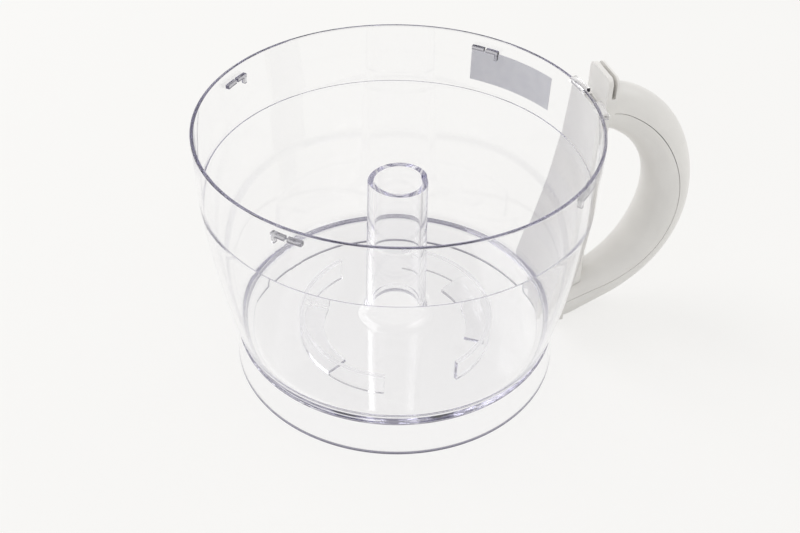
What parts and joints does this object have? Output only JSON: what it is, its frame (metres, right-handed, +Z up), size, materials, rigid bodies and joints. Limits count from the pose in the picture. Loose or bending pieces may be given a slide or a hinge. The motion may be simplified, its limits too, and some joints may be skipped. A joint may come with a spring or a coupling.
{
  "type": "food processor bowl",
  "caption": "Clear food processor bowl with a central drive chimney, a hollow white handle, a sprung interlock rod and a blank label.",
  "frame": {"origin": "centre of the base ring's underside, on the bowl's axis", "axes": "+Z up along the bowl's axis, +X towards the handle, +Y by the right-hand rule"},
  "size_m": [0.246, 0.186, 0.1448],
  "materials": {
    "clear_plastic": "polished",
    "white_plastic": "satin",
    "rod_plastic": "satin",
    "spring_steel": "satin",
    "label_film": "matte"
  },
  "bodies": {
    "bowl": {"bowl_body": "clear_plastic", "handle_strap": "white_plastic", "handle_outer_shell": "white_plastic", "handle_inner_shell": "white_plastic", "label": "label_film", "interlock_spring": "spring_steel"},
    "rod": {"interlock_rod": "rod_plastic"}
  },
  "joints": [
    {"name": "rod_slide", "type": "slide", "parent": "bowl", "child": "rod", "axis": [0, 0, -1], "range_m": [0, 0.005], "stiffness_N_per_m": 300, "springref_m": -0.004, "deforming": ["interlock_spring"]}
  ]
}
